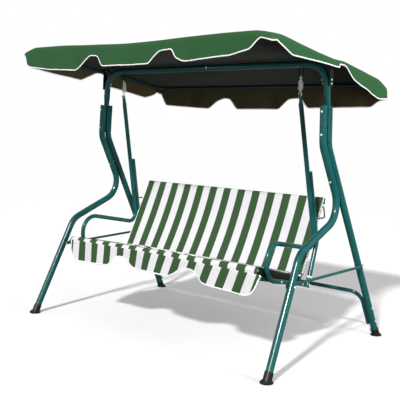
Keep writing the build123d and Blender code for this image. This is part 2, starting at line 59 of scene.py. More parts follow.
JOINTS = {joint["name"]: joint for joint in frame["joints"]}
POST_Y = JOINTS["canopy_tilt"]["pos_m"][1]      # line of the top bar
TAU = 2 * math.pi


def smooth(t):
    """0 to 1 with level ends."""
    t = np.clip(t, 0.0, 1.0)
    return t * t * (3 - 2 * t)


# ---------------------------------------------------------------------- materials

class Shading:
    """One procedural material, built a node at a time."""

    def __init__(self, name):
        self.material = bpy.data.materials.new(name)
        self.material.use_nodes = True
        self.tree = self.material.node_tree
        self.shader = self.tree.nodes["Principled BSDF"]

    def add(self, kind, inputs=(), **settings):
        node = self.tree.nodes.new("ShaderNode" + kind)
        for key, value in settings.items():
            setattr(node, key, value)
        for key, value in dict(inputs).items():
            self.set(node.inputs[key], value)
        return node

    def set(self, socket, value):
        if isinstance(value, bpy.types.NodeSocket):
            self.tree.links.new(value, socket)
        else:
            socket.default_value = value

    def surface(self, **values):
        for key, value in values.items():
            self.set(self.shader.inputs[key.replace("_", " ")], value)

    def math(self, operation, a, b=0.0, c=0.5, clamp=False):
        node = self.add("Math", {0: a, 1: b, 2: c}, operation=operation, use_clamp=clamp)
        return node.outputs[0]

    def mix(self, factor, a, b, blend="MIX"):
        values = {"Fac": factor, "Color1": a, "Color2": b}
        return self.add("MixRGB", values, blend_type=blend).outputs[0]

    def place(self):
        return self.add("TexCoord").outputs["Object"]

    def uv(self):
        return self.add("TexCoord").outputs["UV"]

    def axes(self, vector):
        return self.add("SeparateXYZ", {0: vector}).outputs

    def noise(self, vector, scale, detail=3.0, rough=0.5):
        values = {"Vector": vector, "Scale": scale, "Detail": detail, "Roughness": rough}
        return self.add("TexNoise", values).outputs[0]

    def remap(self, value, low, high, to_low, to_high):
        values = {0: value, 1: low, 2: high, 3: to_low, 4: to_high}
        return self.add("MapRange", values).outputs[0]

    def bump(self, height, depth, strength=1.0, below=None):
        values = {"Height": height, "Distance": depth, "Strength": strength}
        if below is not None:
            values["Normal"] = below
        return self.add("Bump", values).outputs[0]


def tint(rgb, factor=1.0):
    return (rgb[0] * factor, rgb[1] * factor, rgb[2] * factor, 1.0)


def enamel(name, colour, rough=0.2):
    """Glossy powder coat: faint mottling, orange peel and uneven gloss."""
    s = Shading(name)
    place = s.place()
    cloud = s.remap(s.noise(place, 9.0, 4.0), 0.3, 0.7, 0.0, 1.0)
    grain = s.noise(place, 420.0, 2.0)
    base = s.mix(cloud, tint(colour, 0.82), tint(colour, 1.12))
    gloss = s.remap(s.noise(place, 60.0, 5.0), 0.3, 0.7, rough * 0.8, rough * 1.35)
    s.surface(Base_Color=base, Roughness=gloss, Specular_IOR_Level=0.45)
    s.surface(Coat_Weight=0.18, Coat_Roughness=0.14)
    s.surface(Normal=s.bump(grain, 0.00025, 0.35))
    return s.material


def moulded_plastic(name, colour, rough):
    s = Shading(name)
    place = s.place()
    pores = s.noise(place, 1300.0, 2.0)
    smudge = s.noise(place, 30.0, 4.0)
    base = s.mix(s.remap(smudge, 0.35, 0.7, 0.0, 1.0), tint(colour), tint(colour, 1.5))
    s.surface(Base_Color=base, Specular_IOR_Level=0.4)
    s.surface(Roughness=s.remap(smudge, 0.3, 0.7, rough * 0.85, rough * 1.15))
    s.surface(Normal=s.bump(pores, 0.0002, 0.4))
    return s.material


def zinc_plate(name):
    """Bright plated steel with fine drawn scratches and cloudy spangle."""
    s = Shading(name)
    place = s.place()
    stretched = s.add("Mapping", {"Vector": place, "Scale": (90.0, 90.0, 1800.0)}).outputs[0]
    scratches = s.noise(stretched, 1.0, 3.0)
    spangle = s.noise(place, 260.0, 3.0)
    base = s.mix(spangle, (0.78, 0.78, 0.79, 1), (0.93, 0.93, 0.94, 1))
    s.surface(Base_Color=base, Metallic=0.45)
    s.surface(Roughness=s.remap(spangle, 0.3, 0.7, 0.3, 0.45))
    s.surface(Normal=s.bump(scratches, 0.0001, 0.3))
    return s.material


def weave_height(s, uv, pitch):
    """Plain weave: threads crossing over and under, 0 to 1."""
    x, y, _ = s.axes(uv)
    wave_x = s.math("SINE", s.math("MULTIPLY", x, math.pi / pitch))
    wave_y = s.math("SINE", s.math("MULTIPLY", y, math.pi / pitch))
    return s.math("MULTIPLY_ADD", s.math("MULTIPLY", wave_x, wave_y), 0.5, 0.5)


def canopy_cloth(name, colour):
    """Coated polyester: plain weave, heathered threads, soft fading."""
    s = Shading(name)
    place, uv = s.place(), s.uv()
    weave = weave_height(s, uv, 0.0011)
    heather = s.remap(s.noise(place, 210.0, 3.0, 0.7), 0.3, 0.7, 0.0, 1.0)
    fade = s.remap(s.noise(place, 2.2, 3.0), 0.3, 0.7, 0.0, 1.0)
    base = s.mix(heather, tint(colour, 0.84), tint(colour, 1.18))
    base = s.mix(s.math("MULTIPLY", fade, 0.35), base, tint(colour, 1.3))
    base = s.mix(s.math("MULTIPLY", weave, 0.25), base, tint(colour, 0.6))
    creases = s.noise(place, 26.0, 4.0, 0.55)
    normal = s.bump(creases, 0.004, 0.25)
    s.surface(Base_Color=base, Roughness=s.remap(heather, 0.0, 1.0, 0.72, 0.9))
    s.surface(Sheen_Weight=0.04, Sheen_Roughness=0.5, Specular_IOR_Level=0.2)
    s.surface(Normal=s.bump(weave, 0.0003, 0.6, normal))
    return s.material


def striped_cloth(name, shift=0.0, lean_from=None):
    """Woven sling: green and white stripes across X, thread lines and soft folds.

    Below the height `lean_from` the stripes run to the left, more so on the right side.
    """
    s = Shading(name)
    place, uv = s.place(), s.uv()
    x, _, z = s.axes(place)
    weave = weave_height(s, uv, 0.0013)
    fuzz = s.math("MULTIPLY", s.math("SUBTRACT", s.noise(place, 900.0, 1.0), 0.5), 0.0012)
    across = s.math("ADD", s.math("SUBTRACT", x, shift), fuzz)
    if lean_from is not None:
        slope = s.remap(x, -0.25, 0.10, 0.06, 0.38)
        across = s.math("MULTIPLY_ADD", slope, s.math("SUBTRACT", lean_from, z), across)
    wave = s.math("COSINE", s.math("MULTIPLY", across, TAU / STRIPE_PERIOD))
    stripe = s.math("MULTIPLY_ADD", wave, 30.0, 0.5, clamp=True)
    thread = s.remap(s.noise(place, 320.0, 3.0, 0.7), 0.3, 0.7, 0.0, 1.0)
    green = s.mix(thread, tint(SLING_GREEN, 0.65), tint(SLING_GREEN, 1.3))
    white = s.mix(thread, (0.66, 0.65, 0.67, 1), (0.76, 0.75, 0.77, 1))
    base = s.mix(stripe, white, green)
    base = s.mix(s.math("MULTIPLY", weave, 0.12), base, (0.02, 0.03, 0.02, 1))
    folds = s.noise(place, 14.0, 4.0, 0.5)
    normal = s.bump(folds, 0.005, 0.22)
    s.surface(Base_Color=base, Roughness=s.remap(thread, 0.0, 1.0, 0.65, 0.85))
    s.surface(Sheen_Weight=0.06, Specular_IOR_Level=0.3)
    s.surface(Normal=s.bump(weave, 0.00035, 0.6, normal))
    return s.material


def bias_tape(name, stitch, thread, share):
    """Folded white tape with stitches `stitch` metres apart that fill `share` of that."""
    s = Shading(name)
    u, v, _ = s.axes(s.uv())
    along = s.math("FRACT", s.math("DIVIDE", u, stitch))
    dash = s.math("LESS_THAN", along, share)
    row = s.math("COMPARE", s.math("FRACT", v), 0.32, 0.07)
    mark = s.math("MULTIPLY", dash, row)
    ribs = s.math("SINE", s.math("MULTIPLY", u, TAU / TAPE_RIB))
    dirt = s.remap(s.noise(s.place(), 55.0, 4.0), 0.35, 0.75, 0.0, 0.35)
    base = s.mix(dirt, tint(TAPE_WHITE), tint(TAPE_WHITE, 0.82))
    base = s.mix(mark, base, tint(thread))
    ribbed = s.bump(ribs, 0.0002, 0.4)
    s.surface(Base_Color=base, Roughness=0.7, Specular_IOR_Level=0.3)
    s.surface(Normal=s.bump(mark, 0.0006, 0.7, ribbed))
    return s.material


TEAL = (0.004, 0.074, 0.071)
SLING_GREEN = (0.030, 0.080, 0.025)
TAPE_WHITE = (0.86, 0.86, 0.85)
LACE_BLACK = (0.012, 0.02, 0.018)
STRIPE_PERIOD = 0.107           # one green and one white stripe
TAPE_RIB = 0.0011
FINISHES = {
    "enamel": enamel("teal_enamel", TEAL),
    "bracket": enamel("dark_bracket_enamel", (0.002, 0.008, 0.008), 0.5),
    "cap": moulded_plastic("black_foot_plastic", (0.006, 0.007, 0.008), 0.42),
    "ring": moulded_plastic("white_ring_plastic", (0.55, 0.56, 0.56), 0.35),
    "zinc": zinc_plate("zinc_plating"),
}
CANOPY_TOP = canopy_cloth("canopy_green_outside", (0.022, 0.088, 0.030))
# Inside of the roof: partly the coating's own darker colour, partly painted shade, much darker than the outside.
CANOPY_UNDER_PAINTED_SHADE = canopy_cloth("canopy_inside_painted_shade", (0.012, 0.016, 0.004))
# Inside of the valance: a brown darker than the outside as painted shade, yet lighter than the roof's inside as
# painted light that stands in for light reaching the inner face.
VALANCE_UNDER_PAINTED_LIGHT = canopy_cloth("valance_brown_inside_painted_light", (0.046, 0.038, 0.018))
# Near-black copy of the teal enamel for the canopy hoops: painted shade from the canopy above them.
HOOP_ENAMEL_PAINTED_SHADE = enamel("shaded_hoop_enamel", (0.004, 0.026, 0.025), 0.35)
BACK_STRIPES = striped_cloth("striped_back_weave")
SEAT_STRIPES = striped_cloth("striped_seat_weave", -0.030)
FLAP_STRIPES = striped_cloth("striped_flap_weave", -0.006, lean_from=0.49)
# Near-black cloth for the seat's side hems: painted shade of the gap between the sheet's edge and the rail.
HEM_CLOTH_PAINTED_SHADE = canopy_cloth("side_weave_painted_shade", (0.007, 0.013, 0.006))
WHITE_TAPE = bias_tape("white_bias_tape", 0.0045, TAPE_WHITE, 0.62)
LACED_TAPE = bias_tape("laced_edge_tape", 0.016, LACE_BLACK, 0.5)

for part in frame["record"]["subparts"]:
    finish = FINISHES.get(part.get("material_slot"))
    if finish is not None:
        node = frame["nodes"][part["node"]]
        for slot in node.material_slots:
            # The hoops take the painted-shade copy of the enamel.
            slot.material = HOOP_ENAMEL_PAINTED_SHADE if part["node"].endswith("_hoop") else finish


# ------------------------------------------------------------------- mesh building

def build(name, points, faces, materials, uvs=None, face_material=None):
    """Smooth-shaded mesh object. `uvs` holds one pair per face corner."""
    mesh = bpy.data.meshes.new(name)
    mesh.from_pydata([tuple(p) for p in points], [], [tuple(f) for f in faces])
    for material in materials:
        mesh.materials.append(material)
    if face_material is not None:
        mesh.polygons.foreach_set("material_index", face_material)
    mesh.polygons.foreach_set("use_smooth", [True] * len(mesh.polygons))
    if uvs is not None:
        layer = mesh.uv_layers.new(name="cloth")
        layer.data.foreach_set("uv", np.asarray(uvs, np.float32).ravel())
    mesh.update()
    piece = bpy.data.objects.new(name, mesh)
    bpy.context.scene.collection.objects.link(piece)
    return piece


def quads(rows, columns, closed=False):
    """Faces of a grid whose points are listed row by row."""
    faces = []
    last = columns if closed else columns - 1
    for row in range(rows - 1):
        for column in range(last):
            a = row * columns + column
            b = row * columns + (column + 1) % columns
            faces.append((a, b, b + columns, a + columns))
    return faces


def lengths(points):
    """Distance along a polyline at each of its points."""
    steps = np.linalg.norm(np.diff(points, axis=0), axis=1)
    return np.concatenate([[0.0], np.cumsum(steps)])


def thicken(piece, thickness, inner=0):
    """Give a sheet its thickness; its inner faces move `inner` material slots on."""
    solid = piece.modifiers.new("thickness", "SOLIDIFY")
    solid.thickness = thickness
    solid.offset = 0.0
    solid.material_offset = inner
    solid.material_offset_rim = 0
    rounder = piece.modifiers.new("smooth", "SUBSURF")
    rounder.levels = 1
    rounder.render_levels = 1


def grid_piece(name, grid, material, thickness):
    """Cloth sheet from a rows x columns x 3 array, with UVs in metres of cloth."""
    rows, columns = grid.shape[:2]
    along = lengths(grid[:, columns // 2])
    across = lengths(grid[rows // 2])
    faces = quads(rows, columns)
    flat = np.stack(np.meshgrid(across, along), axis=-1).reshape(-1, 2)
    uvs = flat[np.array(faces).ravel()]
    piece = build(name, grid.reshape(-1, 3), faces, [material], uvs)
    thicken(piece, thickness)
    return piece


TAPE_OVERHANG = 0.0018          # how far a tape stands past the cloth's edge
PIPING_SIZE = (0.0064, 0.0030)  # height and thickness
FLAP_TAPE_SIZE = (0.0085, 0.0042)
BACK_TAPE_SIZE = (0.0075, 0.0042)


def tape(name, edge, inward, normal, material, height, thick, closed=False):
    """Folded tape along a cloth edge: an oval strip that straddles it."""
    around = 12
    count = len(edge)
    turn = np.arange(around) * TAU / around
    centre = edge + inward * (height / 2 - TAPE_OVERHANG)
    flat = np.sign(np.cos(turn)) * np.abs(np.cos(turn)) ** 0.7
    points = (
        centre[:, None, :]
        + inward[:, None, :] * (flat * height / 2)[None, :, None]
        + normal[:, None, :] * (np.sin(turn) * thick / 2)[None, :, None]
    )
    loop = np.vstack([edge, edge[:1]]) if closed else edge
    along = lengths(loop)
    faces, uvs = [], []
    for i in range(count if closed else count - 1):
        j = (i + 1) % count
        for k in range(around):
            m = (k + 1) % around
            faces.append((i * around + k, i * around + m, j * around + m, j * around + k))
            v0, v1 = k / around, (k + 1) / around
            uvs += [(along[i], v0), (along[i], v1), (along[i + 1], v1), (along[i + 1], v0)]
    if not closed:
        faces.append(tuple(range(around))[::-1])
        faces.append(tuple((count - 1) * around + k for k in range(around)))
        uvs += [(0.0, 0.0)] * (2 * around)
    return build(name, points.reshape(-1, 3), faces, [material], uvs)


def unit(vectors):
    return vectors / np.maximum(np.linalg.norm(vectors, axis=-1, keepdims=True), 1e-9)


# -------------------------------------------------------------------------- canopy

COVER_LOW, COVER_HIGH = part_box("canopy_cover")
_, FRONT_HOOP_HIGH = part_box("canopy_front_hoop")
REAR_HOOP_LOW, REAR_HOOP_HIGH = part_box("canopy_rear_hoop")
HOOP_D = 0.019
CLOTH_GAP = 0.0045              # cloth middle above the tubes it lies on
WALL_X = COVER_HIGH.x + 0.003
WALL_FRONT = COVER_LOW.y + 0.0015
WALL_REAR = COVER_HIGH.y + 0.006
EDGE_R = 0.017                  # roof rolls over into the valance
PLAN_R = 0.012                  # corner radius of the cloth seen from above
CORNER_R = 0.16                 # outside this corner radius the cloth has no hoop below it
RIDGE = (POST_Y - 0.045, POST_Y + 0.062)
RIDGE_LIFT = 0.015              # the top bar holds the middle of the roof up
RIDGE_END = 0.855
RIDGE_FADE = 0.10
ROOF_Y = (WALL_FRONT, *RIDGE, WALL_REAR)
ROOF_Z = (
    FRONT_HOOP_HIGH.z + CLOTH_GAP,
    REAR_HOOP_HIGH.z + CLOTH_GAP,
    REAR_HOOP_HIGH.z + CLOTH_GAP,
    REAR_HOOP_LOW.z + HOOP_D + CLOTH_GAP,
)
BAY_SAG = 0.010
SAG_HALF = 0.84                 # no sag beyond this distance from the middle
SLIT_TOP = 1.566                # slit in the valance at the front left corner
SLIT_HALF = 0.040
SLIT_SLOPE = 0.036
SIDE_STEP = -0.010              # step in the right side's edge, from the post line
STEP_RISE = 0.030
STEP_RUN = 0.006
STEP_FADE = 0.075
COVER_STEP = 0.009              # spacing of the cloth's mesh
VALANCE_ROWS = 14
ROLL_STEPS = 5                  # rows of the mesh where the roof rolls over
OUTLINE_SOFT = 0.009            # rounding of the corners of the valance's outline
LEAST_DROP = 0.006
ROOF_UNEVEN = 0.0016
SWAY = 0.0065                   # ripple of a valance that hangs down by SWAY_DROP
SWAY_DROP = 0.09
SWAY_OUT = 0.0015
CURL_PLACE = -0.014             # the right side's seam stands out here, from the post line
CURL_WIDTH = 0.014
CURL_OUT = 0.008
COVER_T = 0.0016
CREST = 0.015                   # the front edge stands this much higher near its ends
CREST_FULL = 0.62
CORNER_DROOP = 0.45             # fall of the cloth past the bends of the hoops

# Bottom edge of the valance: place along each side, height.
FRONT_EDGE = (
    (-0.866, 1.508), (-0.836, 1.494), (-0.795, 1.479), (-0.62, 1.461), (-0.40, 1.451),
    (-0.353, 1.478), (-0.29, 1.525), (-0.228, 1.522), (-0.194, 1.466), (0.145, 1.467),
    (0.178, 1.499), (0.217, 1.527), (0.300, 1.533), (0.317, 1.493), (0.368, 1.471),
    (0.645, 1.487), (0.755, 1.510), (0.790, 1.547), (0.835, 1.572), (0.866, 1.574),
)
RIGHT_EDGE = (
    (-0.613, 1.574), (-0.605, 1.572), (-0.582, 1.549), (-0.500, 1.515), (-0.456, 1.499),
    (-0.190, 1.496), (-0.010, 1.489), (0.018, 1.498), (0.062, 1.503), (0.146, 1.445),
    (0.240, 1.419), (0.460, 1.367), (0.565, 1.374),
)
LEFT_EDGE = (
    (-0.613, 1.500), (-0.555, 1.484), (-0.466, 1.474), (-0.170, 1.447),
    (-0.100, 1.478), (-0.041, 1.504), (0.011, 1.507), (0.050, 1.470), (0.086, 1.425),
    (0.207, 1.408), (0.423, 1.379), (0.500, 1.400), (0.565, 1.436),
)
REAR_EDGE = (
    (-0.866, 1.436), (-0.809, 1.336), (-0.413, 1.314), (-0.347, 1.364), (-0.289, 1.384),
    (-0.235, 1.378), (-0.185, 1.312), (0.150, 1.314), (0.220, 1.376), (0.305, 1.382),
    (0.352, 1.321), (0.772, 1.329), (0.818, 1.363), (0.866, 1.374),
)


def roof_height(x, y):
    """Taut cloth over the hoops and the top bar, sagging a little in each bay."""
    window = 0.02
    base = np.mean([np.interp(y + d, ROOF_Y, ROOF_Z) for d in (-window, 0, window)], axis=0)
    ridge = np.mean(
        [np.interp(y + d, ROOF_Y, (0, 1, 1, 0)) for d in (-window, 0, window)], axis=0
    )
    lift = RIDGE_LIFT * ridge * smooth((RIDGE_END - np.abs(x)) / RIDGE_FADE)
    front = np.clip((RIDGE[0] - y) / (RIDGE[0] - WALL_FRONT), 0, 1)
    rear = np.clip((y - RIDGE[1]) / (WALL_REAR - RIDGE[1]), 0, 1)
    slack = 1 - np.clip(np.abs(x) / SAG_HALF, 0, 1) ** 3
    sag = BAY_SAG * slack * (np.sin(math.pi * front) + np.sin(math.pi * rear))
    crest = CREST * smooth(np.abs(x) / CREST_FULL) * front ** 2
    centre_y = (WALL_FRONT + WALL_REAR) / 2
    half_y = (WALL_REAR - WALL_FRONT) / 2
    out_x = np.maximum(np.abs(x) - (WALL_X - CORNER_R), 0)
    out_y = np.maximum(np.abs(y - centre_y) - (half_y - CORNER_R), 0)
    beyond = np.maximum(np.hypot(out_x, out_y) - CORNER_R, 0)
    return base + lift - sag + crest - CORNER_DROOP * beyond


def grid_line(half, step):
    """Places from one wall to the other, close together where the cloth rolls over."""
    turns = [math.pi / 2 * k / ROLL_STEPS for k in range(ROLL_STEPS + 1)]
    roll = [half - EDGE_R * (1 - math.cos(turn)) for turn in turns]
    inner = half - EDGE_R
    count = int(2 * inner / step)
    middle = list(np.linspace(-inner, inner, count + 1)[1:-1])
    return np.array([-r for r in roll] + middle + roll[::-1])


def soften(values, spacing, width):
    """Closed-loop Gaussian average, which rounds the corners of the outline."""
    reach = int(3 * width / spacing) + 1
    offsets = np.arange(-reach, reach + 1)
    weights = np.exp(-0.5 * (offsets * spacing / width) ** 2)
    total = sum(w * np.roll(values, -o, axis=0) for w, o in zip(weights, offsets))
    return total / weights.sum()


def ripple(place, seed):
    return (
        0.5 * np.sin(TAU * place / 0.37 + seed)
        + 0.3 * np.sin(TAU * place / 0.21 + 2.3 * seed)
        + 0.2 * np.sin(TAU * place / 0.131 + 4.1 * seed)
    )


def valance_edge(places, corners):
    """Height of the valance's bottom edge at places along the rim."""
    spacing = 0.001
    fine = np.arange(0.0, corners[-1], spacing)
    height = np.zeros(len(fine))
    sides = (FRONT_EDGE, RIGHT_EDGE, REAR_EDGE[::-1], LEFT_EDGE[::-1])
    for side, outline in enumerate(sides):
        start, end = corners[side], corners[side + 1]
        here = (fine >= start) & (fine <= end)
        along = (fine[here] - start) / (end - start)
        edge = np.array(outline)
        share = (edge[:, 0] - edge[0, 0]) / (edge[-1, 0] - edge[0, 0])
        height[here] = np.interp(along, share, edge[:, 1])
    height = soften(height, spacing, OUTLINE_SOFT)
    # The slit at the front left corner, and the step where the right side's halves meet.
    apart = np.minimum(fine, corners[-1] - fine)
    height += (SLIT_TOP - height) * smooth((SLIT_HALF - apart) / SLIT_SLOPE)
    past = fine - corners[1] - (SIDE_STEP + POST_Y - WALL_FRONT)
    height += STEP_RISE * smooth(past / STEP_RUN + 0.5) * (1 - smooth(past / STEP_FADE))
    return np.interp(places, fine, height)


def roof_points():
    """Points of the roof row by row, rolled over at the walls, and the grid's size."""
    half_y = (WALL_REAR - WALL_FRONT) / 2
    centre_y = (WALL_REAR + WALL_FRONT) / 2
    line_x = grid_line(WALL_X, COVER_STEP)
    line_y = grid_line(half_y, COVER_STEP)
    grid_x, grid_y = np.meshgrid(line_x, line_y)

    # Square corners of the grid become round ones.
    a = np.clip((np.abs(grid_x) - (WALL_X - PLAN_R)) / PLAN_R, 0, 1)
    b = np.clip((np.abs(grid_y) - (half_y - PLAN_R)) / PLAN_R, 0, 1)
    round_a, round_b = a * np.sqrt(1 - b * b / 2), b * np.sqrt(1 - a * a / 2)
    corner = (a > 0) & (b > 0)
    flat_x = np.where(corner, np.sign(grid_x) * (WALL_X - PLAN_R + round_a * PLAN_R), grid_x)
    flat_y = np.where(corner, np.sign(grid_y) * (half_y - PLAN_R + round_b * PLAN_R), grid_y)
    inside = np.where(
        corner,
        PLAN_R * (1 - np.hypot(round_a, round_b)),
        np.minimum(WALL_X - np.abs(grid_x), half_y - np.abs(grid_y)),
    )
    flat_y = flat_y + centre_y
    near = np.clip(EDGE_R - inside, 0, EDGE_R)
    roll = EDGE_R - np.sqrt(EDGE_R ** 2 - near ** 2)
    height = roof_height(flat_x, flat_y) - roll
    roof = np.stack([flat_x, flat_y, height], axis=-1).reshape(-1, 3)
    for point in roof:
        spot = Vector((point[0] * 5.0, point[1] * 9.0, 0.7))
        point[2] += ROOF_UNEVEN * noise.noise(spot)
    return roof, len(line_y), len(line_x)


def valance_points(top, around, drop):
    """Rows of points below the rim `top`, and the way out of the cloth at each column."""
    heading = np.roll(top, -1, axis=0) - np.roll(top, 1, axis=0)
    outward = unit(np.stack([heading[:, 1], -heading[:, 0]], axis=1))
    swing = ripple(around[:-1], 1.7)
    curl_spot = (top[:, 1] - POST_Y - CURL_PLACE) / CURL_WIDTH
    curl = np.exp(-curl_spot ** 2) * (top[:, 0] > WALL_X - 0.01)
    rows = []
    for k in range(1, VALANCE_ROWS + 1):
        t = k / VALANCE_ROWS
        sway = SWAY_OUT + SWAY * t * np.clip(drop / SWAY_DROP, 0.2, 1.2) * (swing + 0.35)
        sway = sway + CURL_OUT * t * curl
        row = np.empty_like(top)
        row[:, :2] = top[:, :2] + outward * sway[:, None]
        row[:, 2] = top[:, 2] - drop * t
        rows.append(row)
    return rows, outward


def valance_faces(rim, first, around, drop):
    """Faces and UVs of the strip below the rim; its own points are numbered from `first`."""
    count = len(rim)
    faces, uvs = [], []

    def vertex(row, column):
        column %= count
        return int(rim[column]) if row == 0 else first + (row - 1) * count + column

    for row in range(VALANCE_ROWS):
        for column in range(count):
            faces.append((
                vertex(row, column), vertex(row + 1, column),
                vertex(row + 1, column + 1), vertex(row, column + 1),
            ))
            left, right = around[column], around[column + 1]
            for place, level, deep in (
                (left, column, row), (left, column, row + 1),
                (right, column + 1, row + 1), (right, column + 1, row),
            ):
                uvs.append((place, -drop[level % count] * deep / VALANCE_ROWS))
    return faces, uvs


def canopy_piping(hem, outward):
    """White piping round the valance's bottom edge."""
    tangent = unit(np.roll(hem, -1, axis=0) - np.roll(hem, 1, axis=0))
    facing = np.column_stack([outward, np.zeros(len(outward))])
    inward = unit(np.cross(facing, tangent))
    normal = unit(np.cross(tangent, inward))
    return tape("canopy_piping", hem, inward, normal, WHITE_TAPE, *PIPING_SIZE, closed=True)


def canopy_cover():
    """One continuous sheet for roof and valance, and its piping."""
    roof, rows, columns = roof_points()

    # The rim, anticlockwise from the front left corner.
    index = np.arange(rows * columns).reshape(rows, columns)
    rim = np.concatenate([index[0, :-1], index[:-1, -1], index[-1, :0:-1], index[:0:-1, 0]])
    top = roof[rim]
    around = lengths(np.vstack([top, top[:1]])[:, :2])
    corners = around[[0, columns - 1, columns + rows - 2, 2 * columns + rows - 3, -1]]
    bottom = valance_edge(around[:-1], corners)
    bottom = np.minimum(bottom, top[:, 2] - LEAST_DROP)
    drop = top[:, 2] - bottom

    below, outward = valance_points(top, around, drop)
    roof_faces = quads(rows, columns)
    roof_uvs = [(roof[v][0], roof[v][1]) for face in roof_faces for v in face]
    side_faces, side_uvs = valance_faces(rim, len(roof), around, drop)
    # Inner faces take the darker inside materials, which hold painted shade.
    cover = build(
        "canopy_cloth",
        np.vstack([roof, *below]),
        roof_faces + side_faces,
        [CANOPY_TOP, CANOPY_UNDER_PAINTED_SHADE, CANOPY_TOP, VALANCE_UNDER_PAINTED_LIGHT],
        roof_uvs + side_uvs,
        [0] * len(roof_faces) + [2] * len(side_faces),
    )
    thicken(cover, COVER_T, inner=1)
    return cover, canopy_piping(below[-1], outward)


cover, piping = canopy_cover()
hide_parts("canopy_cover")
for piece in (cover, piping):
    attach(piece, "canopy")


# ---------------------------------------------------------------------- seat sling

SEAT_LOW, SEAT_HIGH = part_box("seat_sling")
_, BACK_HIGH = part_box("back_sling")
SEAT_HALF = BACK_HIGH.x + 0.003
ROLL_HALF = 0.683               # the front roll is wider and sits off centre
ROLL_MID = 0.027
WIDEN_FROM = 0.80               # the sheet grows to the roll's width on this share of its run
WIDEN_RUN = 0.16
BACK_HALF = BACK_HIGH.x + 0.006
ROLL_R = 0.024                  # soft roll of cloth over the front tube
ROLL_Y = SEAT_LOW.y + 0.002 + ROLL_R
ROLL_Z = SEAT_HIGH.z + 0.005 - ROLL_R
SEAT_REAR = (POST_Y + 0.066, 0.4005)
CREASE = (POST_Y + 0.086, 0.403)
SEAT_SAG = 0.018
TWIST = 0.008                   # the front edge stands higher at the right end
SEAM_FALL = 0.009               # the flap's seam comes down towards the right end
SHEET_T = 0.0022
HEM_T = 0.0016
HEM_ROWS = slice(4, 26)         # rows of the seat sheet that have a rail below them
RAIL_R = 0.011
SEAT_UNEVEN = 0.0012
SHEET_COLUMNS = 91
RUN_ROWS = 25                   # rows of the seat sheet between its rear edge and the roll
FLAP_START = 163.0              # where the flap is sewn on, degrees round the roll
FLAP_R = ROLL_R + 0.0028        # the flap lies on the sheet
FLAP_SWAY = 0.006               # ripple of a flap that hangs down by FLAP_DROP
FLAP_DROP = 0.1
FLAP_IN = 0.002
FLAP_COLUMNS = 230
FLAP_ROWS = 12

FLAP_EDGE = (
    (-0.645, 0.445), (-0.637, 0.372), (-0.618, 0.350), (-0.456, 0.355), (-0.322, 0.363),
    (-0.296, 0.386), (-0.266, 0.418), (-0.233, 0.427), (-0.193, 0.428), (-0.160, 0.405),
    (-0.135, 0.382), (-0.100, 0.376), (0.143, 0.373), (0.191, 0.399), (0.230, 0.427),
    (0.293, 0.434), (0.334, 0.421), (0.366, 0.379), (0.400, 0.371), (0.636, 0.357),
    (0.670, 0.364), (0.699, 0.393), (0.718, 0.436), (0.731, 0.476),
)


def arc(centre, radius, start, end, count):
    """Points (y, z) round a centre; angles in degrees from +Y towards +Z."""
    angles = np.radians(np.linspace(start, end, count))
    return [(centre[0] + radius * math.cos(a), centre[1] + radius * math.sin(a)) for a in angles]


def seat_cloth():
    lead = [CREASE, (POST_Y + 0.078, 0.3935), (POST_Y + 0.071, 0.3945)]
    tangent = math.degrees(math.atan2(ROLL_Y - SEAT_REAR[0], ROLL_Z - SEAT_REAR[1]))
    roll = arc((ROLL_Y, ROLL_Z), ROLL_R, tangent + 180, 180, 14)
    run_start, run_end = np.array(SEAT_REAR), np.array(roll[0])
    steps = np.linspace(0, 1, RUN_ROWS + 1)[:-1]
    run = [tuple(run_start + (run_end - run_start) * t) for t in steps]
    tail = [(roll[-1][0] + 0.001, ROLL_Z - d) for d in (0.008, 0.016, 0.024, 0.032)]
    profile = np.array(lead + run + roll + tail)
    first, last = len(lead), len(lead) + len(run)
    across = np.linspace(-1, 1, SHEET_COLUMNS)
    grid = np.zeros((len(profile), len(across), 3))
    for i, (y, z) in enumerate(profile):
        t = np.clip((i - first) / (last - first), 0, 1)
        spread = smooth((t - WIDEN_FROM) / WIDEN_RUN)
        x = ROLL_MID * spread + across * (SEAT_HALF + (ROLL_HALF - SEAT_HALF) * spread)
        dip = SEAT_SAG * math.sin(math.pi * t) * (1 - np.abs(across) ** 3)
        grid[i, :, 0] = x
        grid[i, :, 1] = y
        grid[i, :, 2] = z - dip + TWIST * across * smooth(t)
    for row in grid:
        for point in row:
            spot = Vector((point[0] * 6, point[1] * 11, 3.1))
            point[2] += SEAT_UNEVEN * noise.noise(spot)
    return grid, grid_piece("seat_cloth", grid, SEAT_STRIPES, SHEET_T)


def seat_side(side, sheet):
    """Side hem that comes down from the sheet's edge to the seat rail; its near-black colour is painted shade."""
    rail_low, rail_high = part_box("seat_rail_right")
    rows = []
    for line in sheet[HEM_ROWS]:
        edge = line[-1] if side > 0 else line[0]
        t = (edge[1] - rail_low.y) / (rail_high.y - rail_low.y)
        rail_top = (rail_high.z - RAIL_R) + t * (rail_low.z - rail_high.z + 2 * RAIL_R) + RAIL_R
        drop = edge[2] - rail_top
        out = side * (SEAT_HALF + 0.0015)
        row = [
            (out - side * 0.030, edge[2] + 0.0008), (out - side * 0.016, edge[2] + 0.0022),
            (out - side * 0.006, edge[2] + 0.0018), (out - side * 0.001, edge[2] - 0.0015),
        ]
        bulge = 0.002 + 0.001 * math.sin(edge[1] * 41 + side)
        for part in (0.2, 0.4, 0.6, 0.8, 1.0):
            swell = bulge * math.sin(math.pi * part) - 0.004 * part
            row.append((out + side * swell, edge[2] - 0.002 - (drop - 0.001) * part))
        rows.append([(x, edge[1], z) for x, z in row])
    grid = np.array(rows)
    if side < 0:
        grid = grid[:, ::-1]
    name = "seat_side_right" if side > 0 else "seat_side_left"
    return grid_piece(name, grid, HEM_CLOTH_PAINTED_SHADE, HEM_T)


